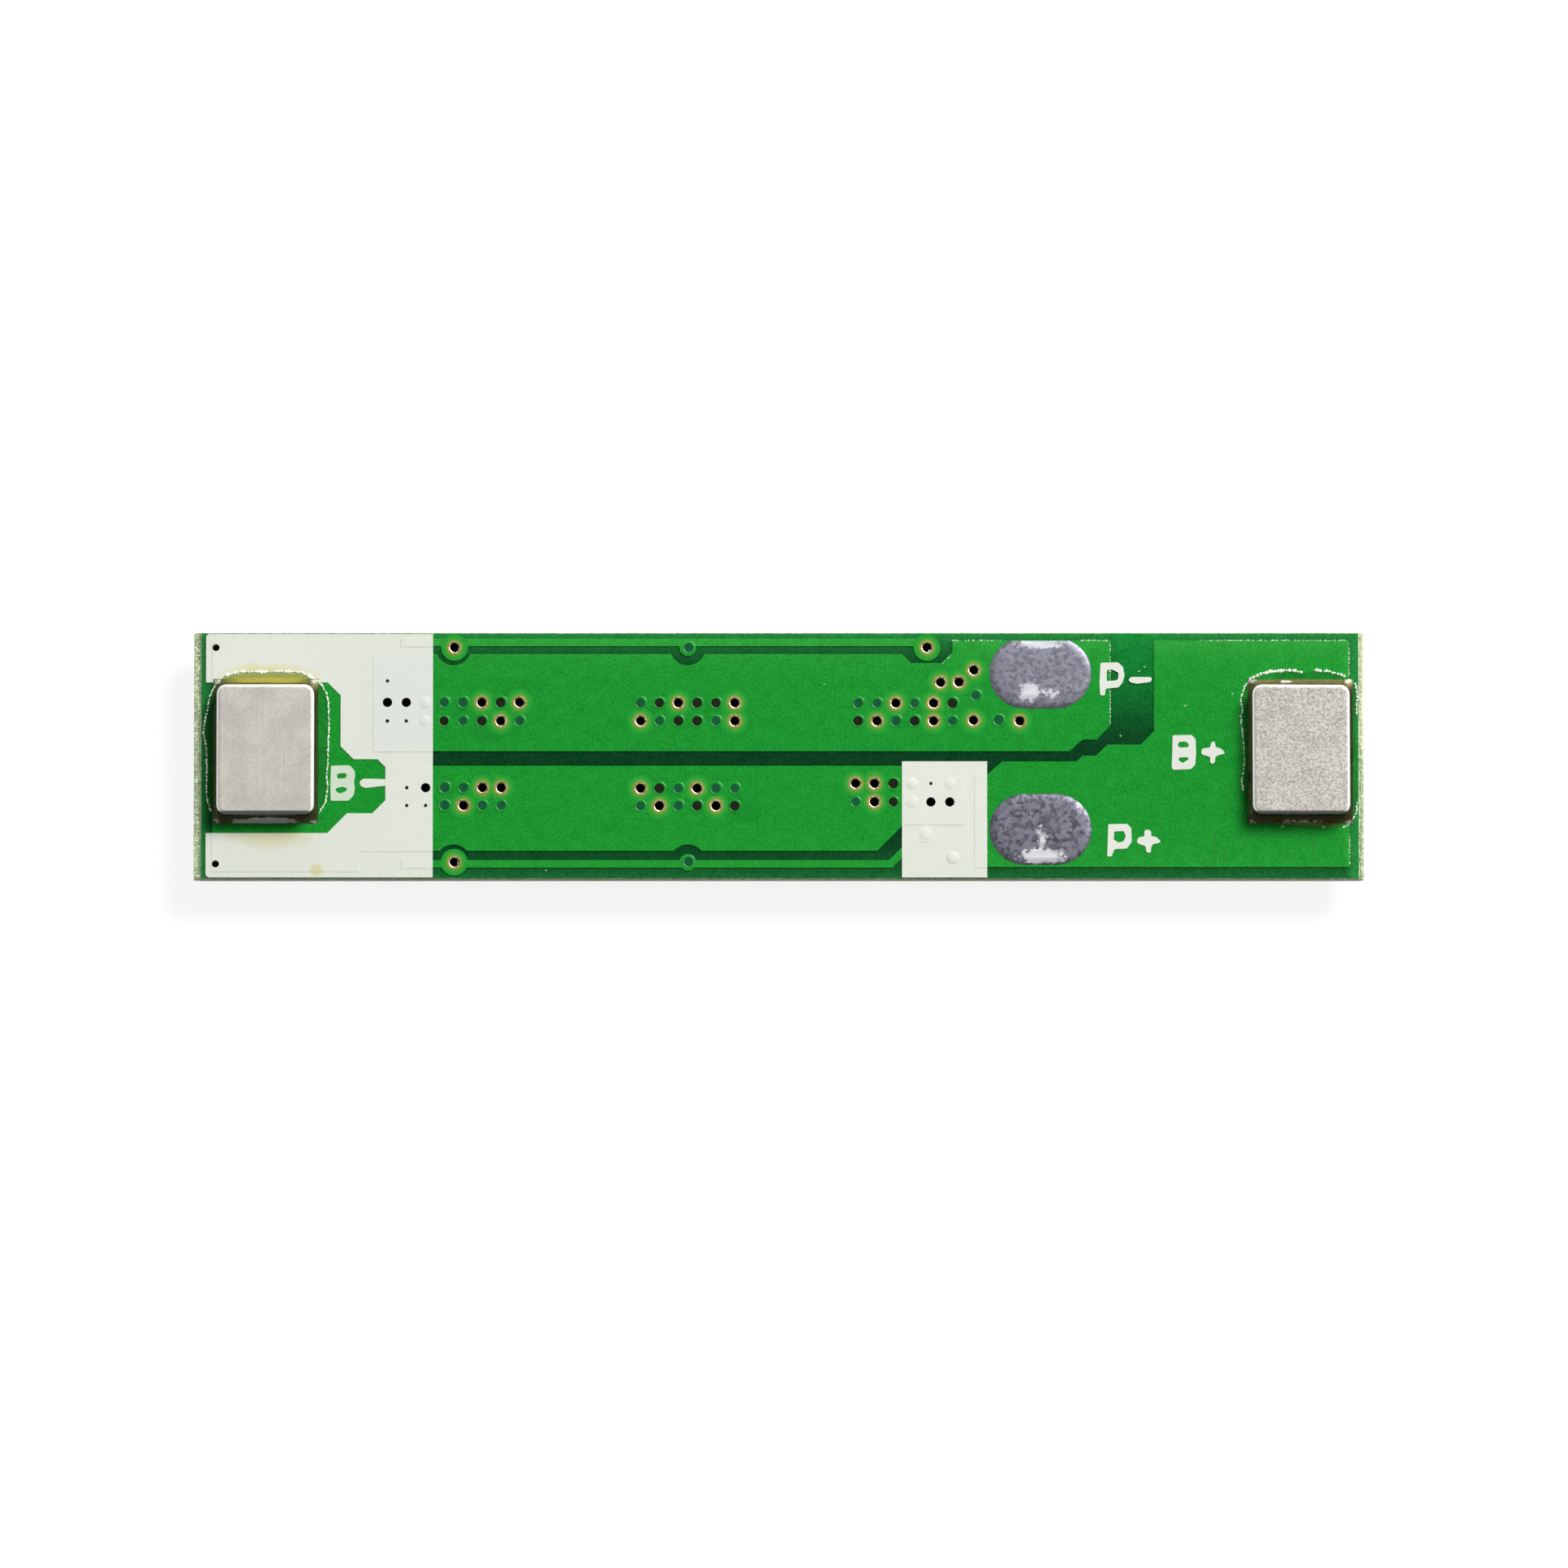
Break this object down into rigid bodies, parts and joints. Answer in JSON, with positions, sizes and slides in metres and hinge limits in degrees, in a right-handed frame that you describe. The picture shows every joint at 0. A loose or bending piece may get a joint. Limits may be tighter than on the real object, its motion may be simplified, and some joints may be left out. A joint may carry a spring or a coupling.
{
  "type": "battery protection board",
  "caption": "Narrow green circuit board that guards a small battery: nickel weld blocks at its ends, tinned output pads, via fields and white print.",
  "frame": {"origin": "middle of the board's outline, at the level of the tops of the three power packages that it lies on", "axes": "+X along the board from the negative to the positive nickel block, +Y across it towards the negative output pad, +Z out of the solder side"},
  "size_m": [0.036, 0.0076, 0.0028],
  "materials": {
    "laminate": "woven glass in epoxy, cut edges rough",
    "copper": "bare rolled copper under the coat",
    "green_mask": "glossy green solder mask, lighter over copper",
    "white_print": "white ink, semi-gloss",
    "solder": "tin solder, dull with bright crystals",
    "nickel": "tumbled nickel, fine grain",
    "package_mould": "black moulding compound",
    "plated_leads": "bright tin plating",
    "resistor_ceramic": "black glazed top",
    "capacitor_ceramic": "matt tan ceramic"
  },
  "bodies": {
    "root": {"laminate": "laminate", "copper_b_minus": "copper", "copper_p_minus": "copper", "copper_b_plus": "copper", "gate_track_charge": "copper", "gate_track_discharge": "copper", "front_copper_b_minus": "copper", "front_copper_p_minus": "copper", "front_copper_signals": "copper", "solder_mask_back": "green_mask", "solder_mask_front": "green_mask", "print_field_left": "white_print", "print_field_right": "white_print", "tinned_pad_p_minus": "solder", "tinned_pad_p_plus": "solder", "solder_bed_b_minus": "solder", "solder_bed_b_plus": "solder", "mosfet_joints_1": "solder", "mosfet_joints_2": "solder", "mosfet_joints_3": "solder", "protection_ic_joints": "solder", "chip_joints": "solder", "nickel_block_b_minus": "nickel", "nickel_block_b_plus": "nickel", "mosfet_body_1": "package_mould", "mosfet_body_2": "package_mould", "mosfet_body_3": "package_mould", "protection_ic_body": "package_mould", "mosfet_leads_1": "plated_leads", "mosfet_leads_2": "plated_leads", "mosfet_leads_3": "plated_leads", "protection_ic_leads": "plated_leads", "sense_resistor_caps": "plated_leads", "supply_resistor_caps": "plated_leads", "filter_capacitor_caps": "plated_leads", "sense_resistor_body": "resistor_ceramic", "supply_resistor_body": "resistor_ceramic", "filter_capacitor_body": "capacitor_ceramic"}
  },
  "joints": []
}
